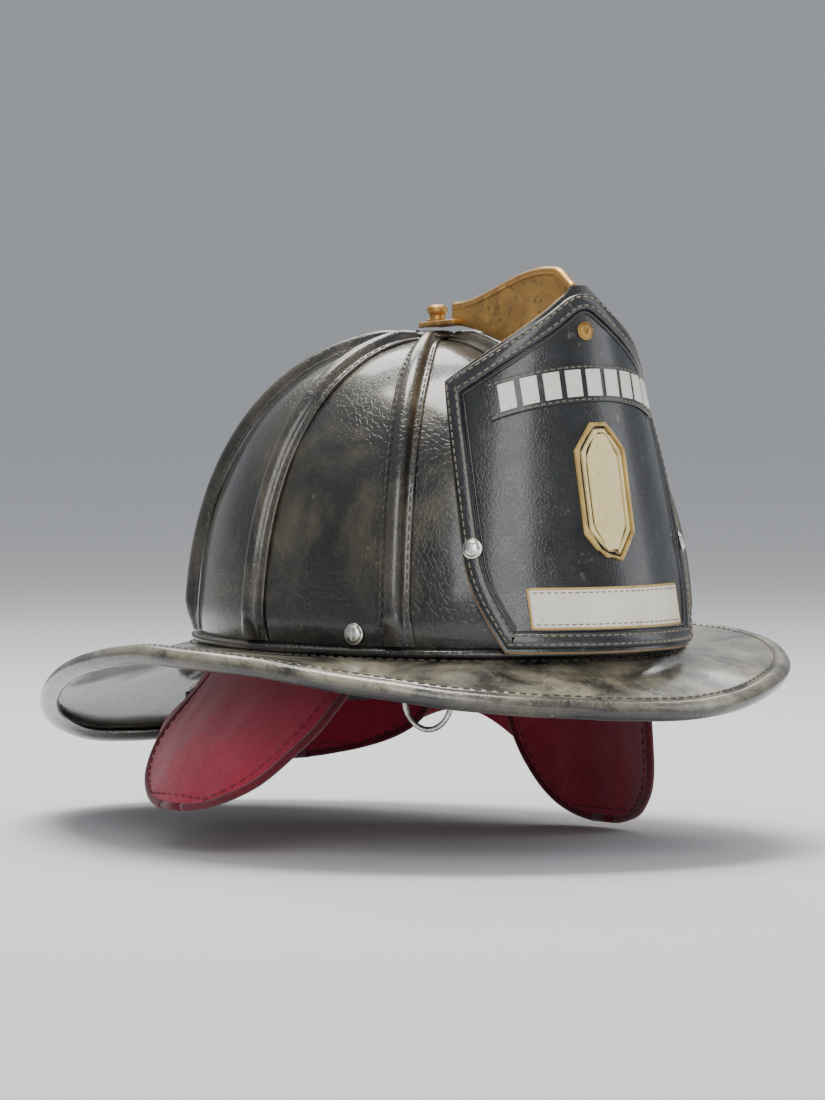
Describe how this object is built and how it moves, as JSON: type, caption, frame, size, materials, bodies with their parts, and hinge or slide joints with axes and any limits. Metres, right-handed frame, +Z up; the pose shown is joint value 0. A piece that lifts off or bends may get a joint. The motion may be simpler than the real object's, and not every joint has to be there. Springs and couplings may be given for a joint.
{
  "type": "firefighter helmet",
  "caption": "Traditional leather firefighter helmet with raised combs, a long rear brim, a curved front shield, ear and neck flaps and a ratchet suspension.",
  "frame": {"origin": "middle of the head opening, level with the foot of the crown and the lower edge of the headband", "axes": "+Z up, -Y towards the front of the helmet, +X towards the wearer's left"},
  "size_m": [0.3008, 0.4041, 0.2471],
  "materials": {
    "black_leather": "worn glossy black paint over leather",
    "shield_leather": "polished black leather",
    "gold_leather": "gold painted leather",
    "cream_leather": "cream painted leather",
    "aged_brass": "aged cast brass",
    "bright_steel": "bright nickel plate",
    "brim_wire": "plain steel wire",
    "red_flannel": "crimson wool flannel",
    "liner_plastic": "moulded thermoplastic",
    "liner_foam": "rigid foam, grey",
    "strap_webbing": "woven black webbing",
    "headband_plastic": "black moulded plastic",
    "sweatband_leather": "brown leather"
  },
  "bodies": {
    "shell": {"crown_panel_front_left": "black_leather", "crown_panel_rear_left": "black_leather", "crown_panel_rear_right": "black_leather", "crown_panel_front_right": "black_leather", "comb_front": "black_leather", "comb_front_left": "black_leather", "comb_left": "black_leather", "comb_rear_left": "black_leather", "comb_rear": "black_leather", "comb_rear_right": "black_leather", "comb_right": "black_leather", "comb_front_right": "black_leather", "crown_cap": "black_leather", "crown_welt": "black_leather", "brim": "black_leather", "chin_tab_left": "black_leather", "chin_tab_right": "black_leather", "shield_base": "shield_leather", "shield_border": "shield_leather", "shield_banner": "shield_leather", "shield_plaque": "gold_leather", "shield_name_panel": "cream_leather", "front_holder": "aged_brass", "holder_bolt": "aged_brass", "holder_screw": "aged_brass", "shield_screw_left": "bright_steel", "shield_screw_right": "bright_steel", "liner_screw_left": "bright_steel", "liner_screw_right": "bright_steel", "chin_rivet_left": "bright_steel", "chin_rivet_right": "bright_steel", "hanger_tab": "bright_steel", "hanger_screw": "bright_steel", "brim_wire": "brim_wire", "flap_band": "red_flannel", "impact_cap": "liner_plastic", "foam_liner": "liner_foam", "crown_strap_a": "strap_webbing", "crown_strap_b": "strap_webbing", "crown_strap_c": "strap_webbing", "headband": "headband_plastic", "strap_key_1": "headband_plastic", "strap_key_2": "headband_plastic", "strap_key_3": "headband_plastic", "strap_key_4": "headband_plastic", "strap_key_5": "headband_plastic", "strap_key_6": "headband_plastic", "ratchet_housing": "headband_plastic", "nape_arm_left": "headband_plastic", "nape_arm_right": "headband_plastic", "sweatband": "sweatband_leather"},
    "ear_flap_right": {"ear_flap_right": "red_flannel"},
    "ear_flap_left": {"ear_flap_left": "red_flannel"},
    "neck_flap": {"neck_flap": "red_flannel"},
    "chin_ring_left": {"chin_ring_left": "bright_steel"},
    "chin_ring_right": {"chin_ring_right": "bright_steel"},
    "hanger_ring": {"hanger_ring": "bright_steel"},
    "ratchet_knob": {"ratchet_knob": "headband_plastic"},
    "sizing_tail_left": {"sizing_tail_left": "headband_plastic"},
    "sizing_tail_right": {"sizing_tail_right": "headband_plastic"}
  },
  "joints": [
    {"name": "ear_flap_right_swing", "type": "hinge", "parent": "shell", "child": "ear_flap_right", "pos_m": [-0.087, 0.006, 0], "axis": [0, 1, 0], "range_deg": [-42, 8]},
    {"name": "ear_flap_left_swing", "type": "hinge", "parent": "shell", "child": "ear_flap_left", "pos_m": [0.087, 0.006, 0], "axis": [0, -1, 0], "range_deg": [-8, 45]},
    {"name": "neck_flap_swing", "type": "hinge", "parent": "shell", "child": "neck_flap", "pos_m": [0, 0.111, 0], "axis": [1, 0, 0], "range_deg": [-12, 20]},
    {"name": "chin_ring_left_swing", "type": "hinge", "parent": "shell", "child": "chin_ring_left", "pos_m": [0.05883, -0.07651, -0.013], "axis": [0.6096, 0.7927, 0], "range_deg": [-60, 60]},
    {"name": "chin_ring_right_swing", "type": "hinge", "parent": "shell", "child": "chin_ring_right", "pos_m": [-0.05883, -0.07651, -0.013], "axis": [0.6096, -0.7927, 0], "range_deg": [-60, 60]},
    {"name": "hanger_ring_swing", "type": "hinge", "parent": "shell", "child": "hanger_ring", "pos_m": [0, 0.18495, -0.03046], "axis": [1, 0, 0], "range_deg": [-45, 45]},
    {"name": "ratchet_knob_turn", "type": "hinge", "parent": "shell", "child": "ratchet_knob", "pos_m": [0, 0.09, -0.016], "axis": [0, 1, 0], "range_deg": [-115, 115]},
    {"name": "sizing_tail_left_slide", "type": "hinge", "parent": "shell", "child": "sizing_tail_left", "pos_m": [0, 0.03, -0.016], "axis": [0, 0, 1], "range_deg": [-8, 8]},
    {"name": "sizing_tail_right_slide", "type": "hinge", "parent": "shell", "child": "sizing_tail_right", "pos_m": [0, 0.03, -0.016], "axis": [0, 0, 1], "range_deg": [-8, 8]}
  ],
  "couplings": [
    {"joint": "sizing_tail_left_slide", "follows": "ratchet_knob_turn", "ratio": -0.0661},
    {"joint": "sizing_tail_right_slide", "follows": "ratchet_knob_turn", "ratio": 0.0661}
  ]
}
